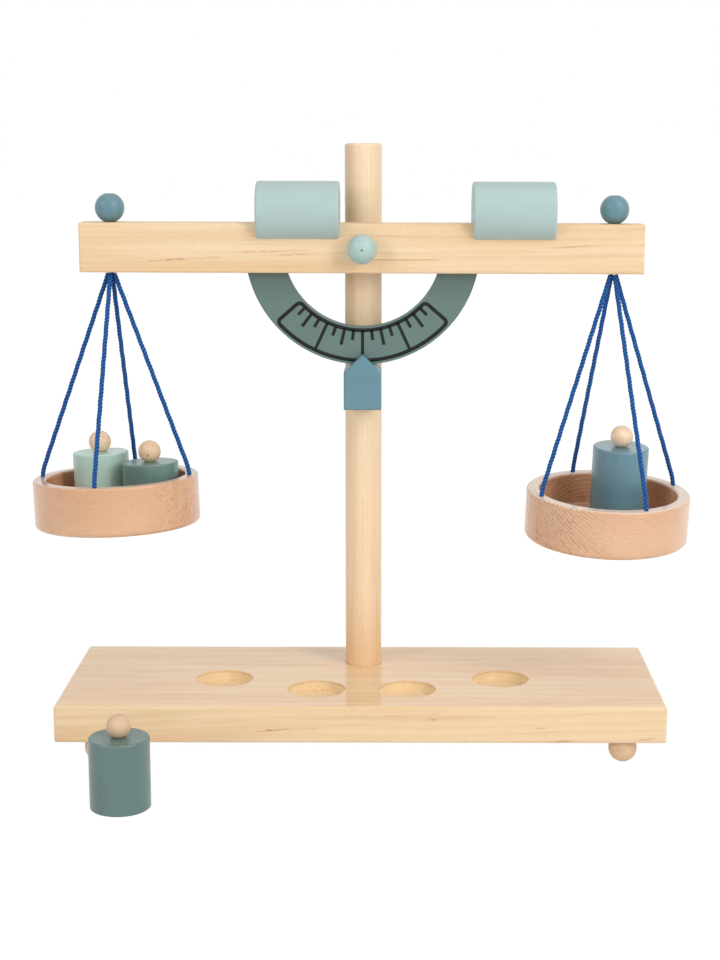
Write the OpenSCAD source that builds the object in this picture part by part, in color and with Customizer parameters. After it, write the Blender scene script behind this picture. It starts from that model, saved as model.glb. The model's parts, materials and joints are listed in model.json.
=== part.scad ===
// Wooden balance scale toy: a beam on a post with a dial, two hanging pans, two riders and four weights.
// Millimetres. The origin is on the floor under the middle of the base.
// +X is to the right of someone facing the scale, +Y points away from them and +Z is up.

/* [Base board] */
// Length of the board
base_l = 320; // [280:1:380]
// Depth of the board
base_w = 115; // [100:1:150]
// Thickness of the board
base_t = 20; // [18:0.5:28]
// Rounding of the board's edges
base_round = 1.8; // [0.6:0.1:3]

/* [Weight rests in the board] */
// Diameter of a rest
rest_d = 31.2; // [30.6:0.1:33]
// Depth of a rest
rest_depth = 6; // [3:0.5:9]
// Distance of the outer rests from the middle
rest_outer_x = 75.4; // [65:0.1:100]
// Distance of the inner rests from the middle
rest_inner_x = 24.3; // [18:0.1:30]
// How far the outer rests lie in front of the middle
rest_outer_y = 7; // [0:0.5:20]
// How far the inner rests lie in front of the middle
rest_inner_y = 26; // [22:0.5:32]

/* [Feet] */
// Diameter of a ball foot
foot_d = 15; // [13:0.5:20]
// How far a ball foot stands out below the board
foot_drop = 13; // [11:0.5:14]
// Distance of a foot's middle from the board's end
foot_inset_x = 21.5; // [12:0.5:40]
// Distance of a foot's middle from the board's long edge
foot_inset_y = 12.5; // [10:0.5:20]
// Diameter of the peg on a foot and of the blind hole that takes it
foot_peg_d = 6; // [4:0.5:8]
// Length of the peg on a foot
foot_peg_l = 9; // [5:0.5:12]
// Height sanded off the bottom of a foot so that it stands flat
foot_flat = 0.4; // [0.2:0.1:1]

/* [Post] */
// Diameter of the post
post_d = 20; // [18:0.5:26]
// Height of the post above the board
post_h = 288; // [270:1:320]
// How far the post goes into the board
post_seat = 15; // [10:0.5:16]
// Distance of the post's axis behind the middle of the board
post_y = 26; // [24:0.5:34]
// Rounding of the post's top edge
post_round = 1.6; // [0.5:0.1:3]

/* [Pivot] */
// Height of the pivot above the board
pivot_h = 234; // [225:1:250]
// Diameter of the pivot pin
pin_d = 5; // [4:0.5:7]
// Radial running clearance of the beam on the pin
pin_play = 0.05; // [0.02:0.01:0.1]
// How far the pin goes into the post
pin_seat = 14; // [8:0.5:16]
// Length of the spacer in sight between post and beam
spacer_l = 9; // [8.8:0.1:12]
// Diameter of the spacer
spacer_d = 9; // [8:0.5:9.5]
// Depth of the flat that the spacer seats on in the post
spacer_seat = 1.6; // [1.4:0.1:3]
// Endwise play of the beam on each side
beam_play = 0.2; // [0.1:0.05:0.4]

/* [Beam] */
// Length of the beam
beam_l = 296; // [290:1:340]
// Height of the beam
beam_h = 26; // [24:0.5:32]
// Thickness of the beam
beam_t = 16; // [14:0.5:18]
// Rounding of the beam's edges
beam_round = 1; // [0.4:0.1:2]
// Distance of the cord holes from the pivot
arm = 132.5; // [128:0.5:136]
// Diameter of the cord holes
cord_hole_d = 8; // [7:0.25:9]
// Diameter of a cord hole's neck, under the bead
cord_neck_d = 5.4; // [5.2:0.1:6]
// Height of that neck
cord_neck_h = 4; // [2:0.5:8]
// Diameter of the flared lower mouth of a cord hole
flare_d = 13; // [11:0.5:14]
// Height of the flare
flare_h = 3; // [2:0.5:5]

/* [Dial] */
// Outer radius of the half ring
dial_r = 62.3; // [55:0.1:64]
// Inner radius of the half ring
dial_bore_r = 42; // [36:0.1:46]
// Thickness of the dial
dial_t = 5; // [3:0.5:6]
// Half angle that the printed scale covers
scale_half_angle = 50; // [40:1:60]
// Width of the scale's frame line
scale_line = 1.9; // [1:0.1:2.5]
// Width of a graduation
tick_w = 1.6; // [0.8:0.1:2.2]
// Distance of the frame's outer line from the dial's outer edge
scale_margin_out = 1.3; // [0.8:0.1:4]
// Distance of the frame's inner line from the dial's inner edge
scale_margin_in = 1; // [0.6:0.1:4]
// Number of divisions on the scale
scale_divisions = 16; // [8:4:24]
// Thickness of the printed ink
ink_t = 0.15; // [0.1:0.05:0.3]

/* [Pointer] */
// Width of the house-shaped pointer
pointer_w = 20; // [16:0.5:24]
// Height of the pointer from its foot to its tip
pointer_h = 29.5; // [26:0.5:36]
// Height of the pointer's roof
pointer_roof = 9.6; // [6:0.2:12]
// How far the tip reaches up over the dial
pointer_overlap = 5.8; // [3:0.2:9]
// Thickness of the tip in front of the dial
pointer_plate = 6; // [4:0.5:9]
// Gap between the tip and the dial's front
pointer_gap = 0.7; // [0.5:0.1:1.5]
// How far the pointer's back wraps round the post
pointer_wrap = 2; // [1:0.5:4]
// Easing of the pointer's edges
pointer_ease = 0.6; // [0.2:0.1:1.2]

/* [Beads] */
// Diameter of the beads over the cord holes
bead_d = 15.5; // [14:0.25:18]
// Diameter of the hole through those beads
bead_hole_d = 5; // [4:0.25:6]
// Diameter of the bead on the pivot pin
pivot_bead_d = 15.5; // [14:0.25:18]
// How far the pin goes into the pivot bead
pivot_bead_seat = 9; // [5:0.5:11]
// Diameter of the pilot hole at the front of the pivot bead
pilot_d = 1; // [0.6:0.1:1.6]
// Width of the flat at the back of the pivot bead
pivot_bead_flat = 0.3; // [0.2:0.1:0.6]

/* [Riders] */
// Diameter of a rider
rider_d = 32; // [28:0.5:34]
// Length of a rider
rider_l = 43.6; // [36:0.1:50]
// How far the rider's axis lies above the beam's top
rider_rise = 5.6; // [4:0.1:7]
// Play of the rider's slot on each side of the beam
rider_play = 0.25; // [0.1:0.05:0.5]
// Clearance between the slot's roof and the beam's top
rider_lift = 0.1; // [0.05:0.05:0.3]
// Rounding of the rider's ends
rider_round = 1.4; // [0.5:0.1:3]
// Place of the left rider along the beam
left_rider_x = -33.8; // [-95:0.1:-33]
// Place of the right rider along the beam
right_rider_x = 79.5; // [33:0.1:95]

/* [Pans] */
// Diameter of a pan
pan_d = 88; // [80:1:96]
// Height of a pan
pan_h = 26; // [20:0.5:32]
// Thickness of a pan's wall
pan_wall = 7; // [6:0.5:9]
// Thickness of a pan's floor
pan_floor = 8; // [5:0.5:10]
// Rounding of a pan's rim
pan_rim_round = 1.2; // [0.5:0.1:2.5]
// Rounding of a pan's lower edge
pan_foot_round = 2.4; // [0.5:0.1:4]
// Fillet where a pan's wall meets its floor
pan_fillet = 2; // [0.5:0.5:3]
// Height of the left pan's rim above the board
left_rim_h = 112; // [100:0.5:120]
// Height of the right pan's rim above the board
right_rim_h = 104.5; // [100:0.5:120]
// Sideways lean of the left pan
left_roll = -2; // [-6:0.1:6]
// Fore and aft lean of the left pan
left_tip = -1.5; // [-6:0.1:6]
// Sideways lean of the right pan
right_roll = 1.8; // [-6:0.1:6]
// Fore and aft lean of the right pan
right_tip = 4.5; // [-6:0.1:6]
// How far the left pan hangs in front of its hang point, so that its load hangs plumb
left_settle = 2.6; // [0:0.1:4]
// How far the right pan hangs in front of its hang point, so that its load hangs plumb
right_settle = 2.2; // [0:0.1:4]
// Turn of the left pan's cords about the plumb line
left_turn = -7; // [-45:1:45]
// Turn of the right pan's cords about the plumb line
right_turn = 23; // [-45:1:45]

/* [Cords] */
// Diameter of a cord
cord_d = 2.2; // [1.6:0.1:2.6]
// Distance of a cord's axis from the middle of the bundle at the beam
bundle_r = 1.65; // [1.6:0.05:2]
// Height of the hang point above the beam's underside
hang_h = 2; // [1:0.25:3]
// Diameter of the knot that gathers the cords in the beam's hole
knot_d = 5.8; // [5:0.1:6.4]
// Depth of a cord's blind hole in the pan's rim
cord_seat = 10; // [6:0.5:14]
// Radial clearance of a cord in the rim
cord_play = 0.2; // [0.1:0.05:0.4]

/* [Weights] */
// Diameter of a weight
weight_d = 30; // [26:0.5:30]
// Rounding of a weight's edges
weight_round = 0.9; // [0.4:0.1:2]
// Height of the green weight
green_h = 25; // [20:0.5:30]
// Height of the mint weight
mint_h = 29; // [22:0.5:36]
// Height of the grey weight
grey_h = 36; // [24:0.5:40]
// Height of the blue weight
blue_h = 41.5; // [30:0.5:46]
// Diameter of a knob
knob_d = 12; // [10:0.5:14]
// How far a knob is sunk where it meets the weight
knob_sink = 0.6; // [0.4:0.1:1.5]
// Diameter of the peg under a knob
knob_peg_d = 5; // [3:0.5:6]
// Length of the peg under a knob
knob_peg_l = 8; // [4:0.5:12]
// Place of the mint weight from the middle of the left pan
mint_at = [-10.2, 16.5];
// Place of the green weight from the middle of the left pan
green_at = [18.8, 0];
// Place of the blue weight from the middle of the right pan
blue_at = [6, 5];
// Place of the grey weight on the floor
grey_at = [-117, -115];
// Gap between a standing weight and what it stands on
stand_gap = 0.05; // [0.02:0.01:0.1]

/* [Hidden] */
$fn = 64;

// Overrun that a cut has past the face it opens
over = 1;
pine = "#eed3ab";
lacquer = "#e6c8a4";
beech = "#e3b68f";
pale_wood = "#ecd1ad";
light_mint = "#b6cfc9";
slate = "#7b9ea6";
sea_green = "#7e9893";
ink = "#2b2b2b";
pointer_blue = "#7399a4";
cord_blue = "#1f52a3";
mint = "#a3bfb4";
green = "#647f79";
blue = "#5f808b";
grey_green = "#6d8683";

base_top = foot_drop + base_t;
post_r = post_d / 2;
pivot_z = base_top + pivot_h;
beam_y = post_y - post_r - spacer_l - beam_t / 2;
beam_front = beam_y - beam_t / 2;
beam_back = beam_y + beam_t / 2;
beam_top = pivot_z + beam_h / 2;
beam_low = pivot_z - beam_h / 2;
dial_front = beam_back - dial_t;
bead_r = bead_d / 2;
bead_z = beam_top + stand_gap + sqrt(pow(bead_r, 2) - pow(cord_neck_d / 2, 2));
rider_z = beam_top + rider_rise;
hang_z = beam_low + hang_h;
weight_r = weight_d / 2;
pan_r = pan_d / 2;
rim_hole_r = pan_r - pan_wall / 2;
pan_bore_r = pan_r - pan_wall;

left_hang = [-arm, beam_y, hang_z];
right_hang = [arm, beam_y, hang_z];
left_mid = [-arm, beam_y - left_settle, base_top + left_rim_h];
right_mid = [arm, beam_y - right_settle, base_top + right_rim_h];
left_lean = [left_tip, left_roll, 0];
right_lean = [right_tip, right_roll, 0];

// A cord has rings this many diameters apart on its straight run, and this many in its bend
cord_pitch_share = 3;
bend_rings = 5;
cord_sides = 8;
// Where the cord starts to bend over its hole, and how high the corner of that bend is, in diameters
bend_reach_share = 2;
bend_rise_share = 1.1;
// How far a cord's upper end stays off the middle of the knot, in knot radii
cord_start_share = 1.04;

// A point turned about X and then about Y, by the degrees in lean
function tip(p, a) = [p[0], p[1] * cos(a) - p[2] * sin(a), p[1] * sin(a) + p[2] * cos(a)];
function roll(p, a) = [p[0] * cos(a) + p[2] * sin(a), p[1], p[2] * cos(a) - p[0] * sin(a)];
function leaned(p, lean) = roll(tip(p, lean[0]), lean[1]);
function mix(a, b, t) = a * (1 - t) + b * t;
function unit(v) = v / norm(v);

// A flat rectangle with round corners, centred
module round_rect(size, r) {
    square([size[0] - 2 * r, size[1]], center = true);
    square([size[0], size[1] - 2 * r], center = true);
    for (x = [-1, 1], y = [-1, 1])
        translate([x * (size[0] / 2 - r), y * (size[1] / 2 - r)]) circle(r);
}

// A block centred on the origin with its twelve edges rounded
module eased_block(size, r) {
    intersection() {
        linear_extrude(size[2], center = true) round_rect([size[0], size[1]], r);
        rotate([90, 0, 0]) linear_extrude(size[1], center = true) round_rect([size[0], size[2]], r);
        rotate([90, 0, 90]) linear_extrude(size[0], center = true) round_rect([size[1], size[2]], r);
    }
}

// Half the outline of a turned piece that stands on the origin, with its two edges rounded
module turned_outline(r, h, low_round, top_round) {
    square([r - low_round, low_round]);
    translate([0, low_round]) square([r, h - low_round - top_round]);
    translate([0, h - top_round]) square([r - top_round, top_round]);
    translate([r - low_round, low_round]) circle(low_round);
    translate([r - top_round, h - top_round]) circle(top_round);
}

module turned(r, h, low_round, top_round) {
    rotate_extrude() turned_outline(r, h, low_round, top_round);
}

module base_board() {
    rests = [
        [-rest_outer_x, -rest_outer_y], [-rest_inner_x, -rest_inner_y],
        [rest_inner_x, -rest_inner_y], [rest_outer_x, -rest_outer_y]];
    color(lacquer) difference() {
        translate([0, 0, foot_drop + base_t / 2]) eased_block([base_l, base_w, base_t], base_round);
        for (at = rests)
            translate([at[0], at[1], base_top - rest_depth]) cylinder(d = rest_d, h = rest_depth + over);
        translate([0, post_y, base_top - post_seat]) cylinder(r = post_r, h = post_seat + over);
        for (x = [-1, 1], y = [-1, 1])
            foot_place(x, y) translate([0, 0, foot_drop - over])
                cylinder(d = foot_peg_d, h = foot_peg_l + over);
    }
}

module foot_place(x, y) {
    translate([x * (base_l / 2 - foot_inset_x), y * (base_w / 2 - foot_inset_y), 0]) children();
}

// A turned ball with a flat seat under the board, a peg and a sanded bottom
module foot(x, y) {
    r = foot_d / 2;
    color(pale_wood) foot_place(x, y) {
        intersection() {
            translate([0, 0, r - foot_flat]) sphere(r);
            cylinder(r = foot_d, h = foot_drop);
        }
        translate([0, 0, foot_drop]) cylinder(d = foot_peg_d, h = foot_peg_l);
    }
}

// A round solid along Y from y0 to y1 at the pivot
module on_pivot(d, y0, y1) {
    translate([0, y1, pivot_z]) rotate([90, 0, 0]) cylinder(d = d, h = y1 - y0);
}

module post() {
    front = post_y - post_r;
    color(pine) difference() {
        translate([0, post_y, base_top - post_seat])
            turned(post_r, post_h + post_seat, post_round / 2, post_round);
        on_pivot(pin_d, front - over, front + pin_seat);
        on_pivot(spacer_d, front - over, front + spacer_seat);
    }
}

module pivot_pin() {
    color(pale_wood)
        on_pivot(pin_d, beam_front - beam_play - pivot_bead_seat, post_y - post_r + pin_seat);
}

module pivot_spacer() {
    color(pale_wood) difference() {
        on_pivot(spacer_d, beam_back + beam_play, post_y - post_r + spacer_seat);
        on_pivot(pin_d, beam_back, post_y);
    }
}

module pivot_bead() {
    back = beam_front - beam_play;
    color(light_mint) difference() {
        translate([0, back - pivot_bead_d / 2 + pivot_bead_flat, pivot_z]) rotate([90, 0, 0]) sphere(d = pivot_bead_d);
        on_pivot(2 * pivot_bead_d, back, back + pivot_bead_d);
        on_pivot(pin_d, back - pivot_bead_seat, back + over);
        on_pivot(pilot_d, back - pivot_bead_d, back);
    }
}

// The house outline stands on the origin: a square body with a pointed roof
module pointer_outline(shrink) {
    half = pointer_w / 2;
    offset(delta = -shrink)
        polygon([
            [-half, 0], [half, 0], [half, pointer_h - pointer_roof], [0, pointer_h],
            [-half, pointer_h - pointer_roof]]);
}

module pointer() {
    tip_z = pivot_z - dial_r + pointer_overlap;
    back = post_y - post_r + pointer_wrap;
    front = dial_front - pointer_gap - pointer_plate;
    depth = back - front;
    color(pointer_blue) difference() {
        translate([0, back, tip_z - pointer_h]) rotate([90, 0, 0]) hull() {
            linear_extrude(depth - pointer_ease) pointer_outline(0);
            linear_extrude(depth) pointer_outline(pointer_ease);
        }
        translate([0, post_y, 0]) cylinder(r = post_r, h = base_top + post_h);
        translate([-pointer_w, dial_front - pointer_gap, pivot_z - dial_r - pointer_gap])
            cube([2 * pointer_w, base_w, pointer_h]);
    }
}

// The half ring that the dial fills, behind the beam's front and up to the pivot's height
module half_ring(y0, y1) {
    intersection() {
        difference() {
            on_pivot(2 * dial_r, y0, y1);
            on_pivot(2 * dial_bore_r, y0 - over, y1 + over);
        }
        translate([-dial_r, y0, pivot_z - dial_r]) cube([2 * dial_r, y1 - y0, dial_r]);
    }
}

module beam() {
    color(pine) difference() {
        translate([0, beam_y, pivot_z]) eased_block([beam_l, beam_t, beam_h], beam_round);
        on_pivot(pin_d + 2 * pin_play, beam_front - over, beam_back + over);
        half_ring(dial_front, beam_back + over);
        for (side = [-1, 1]) translate([side * arm, beam_y, 0]) {
            translate([0, 0, beam_low - over]) cylinder(d = cord_hole_d, h = beam_h - cord_neck_h + over);
            translate([0, 0, beam_low]) cylinder(d = cord_neck_d, h = beam_h + over);
            translate([0, 0, beam_low]) cylinder(d1 = flare_d, d2 = cord_hole_d, h = flare_h);
        }
    }
}

module dial() {
    color(sea_green) half_ring(dial_front, beam_back);
}

// A sector of a disc about the dial's centre, to half_angle on each side of straight down
module sector(r, half_angle) {
    reach = r / cos(half_angle / 2);
    intersection() {
        circle(r);
        polygon([
            [0, 0], [-reach * sin(half_angle), -reach * cos(half_angle)],
            [-reach * sin(half_angle / 2), -reach * cos(half_angle / 2)], [0, -reach],
            [reach * sin(half_angle / 2), -reach * cos(half_angle / 2)],
            [reach * sin(half_angle), -reach * cos(half_angle)]]);
    }
}

// The printed frame of the scale with its graduations, a film of ink on the dial's front
module dial_scale() {
    outer = dial_r - scale_margin_out;
    inner = dial_bore_r + scale_margin_in;
    line_angle = asin(scale_line / outer);
    step = 2 * scale_half_angle / scale_divisions;
    band = outer - inner;
    long_share = 1;
    medium_share = 0.58;
    short_share = 0.38;
    color(ink) translate([0, dial_front, pivot_z]) rotate([90, 0, 0]) linear_extrude(ink_t) {
        difference() {
            sector(outer, scale_half_angle);
            circle(inner);
            difference() {
                sector(outer - scale_line, scale_half_angle - line_angle);
                circle(inner + scale_line);
            }
        }
        for (i = [1 : scale_divisions - 1]) {
            quarter = i % (scale_divisions / 4) == 0;
            half_step = i % 2 == 0;
            share = quarter ? long_share : half_step ? medium_share : short_share;
            rotate(-scale_half_angle + i * step)
                translate([-tick_w / 2, -inner - share * (band - scale_line / 2)])
                    square([tick_w, share * (band - scale_line / 2) - scale_line / 2]);
        }
    }
}

module cord_bead(side) {
    color(slate) translate([side * arm, beam_y, bead_z]) difference() {
        sphere(bead_r);
        cylinder(d = bead_hole_d, h = 2 * bead_d, center = true);
    }
}

// The gathered cords go up the beam's hole and end inside the bead
module cord_stem(side) {
    start = hang_z + knot_d / 2 + stand_gap;
    color(cord_blue) translate([side * arm, beam_y, start])
        cylinder(d = bead_hole_d - 2 * cord_play, h = bead_z - start);
}

module rider(at_x) {
    color(light_mint) translate([at_x - rider_l / 2, beam_y, rider_z]) difference() {
        rotate([0, 90, 0]) turned(rider_d / 2, rider_l, rider_round, rider_round);
        translate([-over, -beam_t / 2 - rider_play, -rider_d])
            cube([rider_l + 2 * over, beam_t + 2 * rider_play, rider_d - rider_rise + rider_lift]);
    }
}

module knot(hang) {
    color(cord_blue) translate(hang) sphere(d = knot_d);
}

// A dished pan: a wall with a round rim on a flat floor, and four blind holes in the rim for its cords
module pan(mid, lean, turn) {
    color(beech) translate(mid) rotate(lean) translate([0, 0, -pan_h]) difference() {
        rotate_extrude() difference() {
            turned_outline(pan_r, pan_h, pan_foot_round, pan_rim_round);
            translate([0, pan_floor + pan_fillet]) square([pan_bore_r, pan_h]);
            translate([0, pan_floor]) square([pan_bore_r - pan_fillet, pan_h]);
            translate([pan_bore_r - pan_fillet, pan_floor + pan_fillet]) circle(pan_fillet);
            translate([pan_bore_r, pan_h - pan_rim_round]) difference() {
                square(pan_rim_round);
                translate([pan_rim_round, 0]) circle(pan_rim_round);
            }
        }
        for (i = [0 : 3]) rotate(turn + 90 * i)
            translate([rim_hole_r, 0, pan_h - cord_seat])
                cylinder(r = cord_d / 2 + cord_play, h = cord_seat + over);
    }
}

// The route of one cord: from the bundle under the knot, straight to the rim, and down its hole
function cord_route(hang, mid, lean, turn) =
    let (
        rim = [rim_hole_r * cos(turn), rim_hole_r * sin(turn), 0],
        up = leaned([0, 0, 1], lean),
        mouth = mid + leaned(rim, lean),
        start = hang + [bundle_r * cos(turn), bundle_r * sin(turn), -cord_start_share * knot_d / 2],
        corner = mouth + up * bend_rise_share * cord_d,
        reach = bend_reach_share * cord_d,
        bend_in = corner + unit(start - corner) * reach,
        bend_out = corner - up * reach,
        foot = mouth - up * (cord_seat - cord_play),
        runs = ceil(norm(bend_in - start) / (cord_pitch_share * cord_d)))
    [
        for (i = [0 : runs - 1]) mix(start, bend_in, i / runs),
        for (i = [0 : bend_rings])
            let (t = i / bend_rings) mix(mix(bend_in, corner, t), mix(corner, bend_out, t), t),
        foot];

// A round tube swept along a route that nowhere turns far from straight down
module cord(route) {
    last = len(route) - 1;
    along = [for (i = [0 : last]) unit(route[min(i + 1, last)] - route[max(i - 1, 0)])];
    side = [for (t = along) unit(cross([0, 1, 0], t))];
    front = [for (i = [0 : last]) cross(along[i], side[i])];
    points = [
        for (i = [0 : last], k = [0 : cord_sides - 1])
            let (a = 360 * k / cord_sides)
                route[i] + (side[i] * cos(a) + front[i] * sin(a)) * cord_d / 2];
    skin = [
        for (i = [0 : last - 1], k = [0 : cord_sides - 1])
            let (a = i * cord_sides + k, b = i * cord_sides + (k + 1) % cord_sides)
                [a, a + cord_sides, b + cord_sides, b]];
    ends = [
        [for (k = [0 : cord_sides - 1]) k],
        [for (k = [cord_sides - 1 : -1 : 0]) last * cord_sides + k]];
    color(cord_blue) polyhedron(points, concat(skin, ends));
}

module left_cord(i) {
    cord(cord_route(left_hang, left_mid, left_lean, left_turn + 90 * i));
}

module right_cord(i) {
    cord(cord_route(right_hang, right_mid, right_lean, right_turn + 90 * i));
}

// The frame of a load that stands on a pan's floor
module on_pan(mid, lean, at) {
    translate(mid) rotate(lean) translate([at[0], at[1], pan_floor - pan_h + stand_gap]) children();
}

module on_floor(at) {
    translate([at[0], at[1], 0]) children();
}

module weight(h) {
    difference() {
        turned(weight_r, h, weight_round, weight_round);
        translate([0, 0, h - knob_peg_l]) cylinder(d = knob_peg_d, h = knob_peg_l + over);
    }
}

// A turned ball with a flat seat and a peg
module knob(h) {
    r = knob_d / 2;
    color(pale_wood) translate([0, 0, h]) {
        intersection() {
            translate([0, 0, r - knob_sink]) sphere(r);
            cylinder(r = knob_d, h = knob_d);
        }
        translate([0, 0, -knob_peg_l]) cylinder(d = knob_peg_d, h = knob_peg_l);
    }
}

module mint_weight() { color(mint) on_pan(left_mid, left_lean, mint_at) weight(mint_h); }
module mint_knob() { on_pan(left_mid, left_lean, mint_at) knob(mint_h); }
module green_weight() { color(green) on_pan(left_mid, left_lean, green_at) weight(green_h); }
module green_knob() { on_pan(left_mid, left_lean, green_at) knob(green_h); }
module blue_weight() { color(blue) on_pan(right_mid, right_lean, blue_at) weight(blue_h); }
module blue_knob() { on_pan(right_mid, right_lean, blue_at) knob(blue_h); }
module grey_weight() { color(grey_green) on_floor(grey_at) weight(grey_h); }
module grey_knob() { on_floor(grey_at) knob(grey_h); }

base_board();
foot(-1, -1);  // foot_front_left
foot(1, -1);  // foot_front_right
foot(-1, 1);  // foot_back_left
foot(1, 1);  // foot_back_right
post();
pointer();
pivot_pin();
pivot_spacer();
pivot_bead();
beam();
dial();
dial_scale();
cord_bead(-1);  // left_bead
cord_bead(1);  // right_bead
cord_stem(-1);  // left_cord_stem
cord_stem(1);  // right_cord_stem
rider(left_rider_x);  // left_rider
rider(right_rider_x);  // right_rider
knot(left_hang);  // left_knot
knot(right_hang);  // right_knot
pan(left_mid, left_lean, left_turn);  // left_pan
left_cord(0);  // left_cord_right
left_cord(1);  // left_cord_back
left_cord(2);  // left_cord_left
left_cord(3);  // left_cord_front
pan(right_mid, right_lean, right_turn);  // right_pan
right_cord(0);  // right_cord_back_right
right_cord(1);  // right_cord_back_left
right_cord(2);  // right_cord_front_left
right_cord(3);  // right_cord_front_right
mint_weight();
mint_knob();
green_weight();
green_knob();
blue_weight();
blue_knob();
grey_weight();
grey_knob();
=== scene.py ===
"""Looks of a wooden balance scale toy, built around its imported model."""

import json
import logging
import math
from dataclasses import dataclass, field
from enum import Enum
from typing import Sequence, Union

import bpy
from mathutils import Euler, Matrix, Vector

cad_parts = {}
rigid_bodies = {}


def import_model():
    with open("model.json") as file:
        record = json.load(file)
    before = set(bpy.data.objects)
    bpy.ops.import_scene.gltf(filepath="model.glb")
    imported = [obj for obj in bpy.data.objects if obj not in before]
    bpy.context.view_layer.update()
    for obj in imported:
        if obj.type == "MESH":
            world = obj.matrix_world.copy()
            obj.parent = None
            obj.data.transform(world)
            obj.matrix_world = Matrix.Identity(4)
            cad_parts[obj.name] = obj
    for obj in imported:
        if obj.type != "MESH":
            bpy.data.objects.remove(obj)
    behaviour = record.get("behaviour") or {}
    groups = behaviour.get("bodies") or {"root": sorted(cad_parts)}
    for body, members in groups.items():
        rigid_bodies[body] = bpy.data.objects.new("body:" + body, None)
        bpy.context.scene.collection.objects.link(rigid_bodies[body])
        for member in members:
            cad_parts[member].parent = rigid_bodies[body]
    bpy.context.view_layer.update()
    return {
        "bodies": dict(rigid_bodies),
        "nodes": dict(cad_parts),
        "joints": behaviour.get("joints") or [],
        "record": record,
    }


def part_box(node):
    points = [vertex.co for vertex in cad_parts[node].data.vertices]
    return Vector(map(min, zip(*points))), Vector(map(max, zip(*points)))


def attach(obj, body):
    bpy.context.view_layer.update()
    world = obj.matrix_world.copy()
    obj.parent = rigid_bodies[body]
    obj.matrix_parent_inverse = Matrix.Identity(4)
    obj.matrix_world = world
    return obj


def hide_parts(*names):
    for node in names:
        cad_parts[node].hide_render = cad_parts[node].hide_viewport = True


LOG = logging.getLogger("balance_scale")
MM = 0.001
FULL_TURN = 2 * math.pi
Number = Union[int, float]
Point = tuple[float, float, float]
Label = Union[str, int]
Inputs = dict[Label, object]


class Grain(Enum):
    """The row axis that a wooden piece's fibres run along."""

    ALONG_X = 0
    ALONG_Y = 1
    ALONG_Z = 2


def linear(hex_colour: str) -> tuple[float, float, float, float]:
    """Turns a written colour into Blender's linear values.

    Args:
        hex_colour: The colour as it looks on a screen, such as "#e8cdac".

    Returns:
        Red, green, blue and a full alpha.
    """
    parts = [int(hex_colour[i:i + 2], 16) / 255 for i in (1, 3, 5)]
    r, g, b = (c / 12.92 if c <= 0.04045 else ((c + 0.055) / 1.055) ** 2.4 for c in parts)
    return r, g, b, 1.0


# Node trees

class Tree:
    """A node tree that is filled by one method and by expressions on its sockets."""

    def __init__(self, tree: bpy.types.NodeTree) -> None:
        """Wraps an empty node tree."""
        self.tree = tree

    def node(self, kind: str, values: Inputs | None = None, **settings: object) -> bpy.types.Node:
        """Adds a node, sets it up and fills its sockets.

        Args:
            kind: Blender's type name of the node.
            values: What each input socket holds or is linked to, by name or by place.
            settings: The node's own settings, which are set before its sockets.

        Returns:
            The new node.
        """
        made = self.tree.nodes.new(kind)
        for name, value in settings.items():
            setattr(made, name, value)
        for key, value in (values or {}).items():
            self.feed(made.inputs[key], value)
        return made

    def feed(self, socket: bpy.types.NodeSocket, value: object) -> None:
        """Links a socket to another one, or sets what it holds."""
        if isinstance(value, Val):
            value = value.socket
        if isinstance(value, bpy.types.NodeSocket):
            self.tree.links.new(value, socket)
        else:
            socket.default_value = value

    def val(self, kind: str, values: Inputs | None = None, out: Label = 0, **settings: object) -> "Val":
        """Adds a node as node() does and wraps one of its outputs."""
        return Val(self, self.node(kind, values, **settings).outputs[out])

    def parts(self, vector: "Val") -> tuple["Val", "Val", "Val"]:
        """Takes a vector apart into its three numbers."""
        split = self.node("ShaderNodeSeparateXYZ", {0: vector})
        return tuple(Val(self, o) for o in split.outputs)

    def vector(self, x: object, y: object, z: object) -> "Val":
        """Puts three numbers together as a vector."""
        return self.val("ShaderNodeCombineXYZ", {0: x, 1: y, 2: z})

    def seen_straight(self) -> "Val":
        """Gives 1 where the camera sees the thing, also by a reflection or through glass, and 0 elsewhere."""
        path = self.node("ShaderNodeLightPath")
        straight = Val(self, path.outputs["Is Camera Ray"]).math("MAXIMUM", path.outputs["Is Glossy Ray"])
        return straight.math("MAXIMUM", path.outputs["Is Transmission Ray"])


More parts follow.
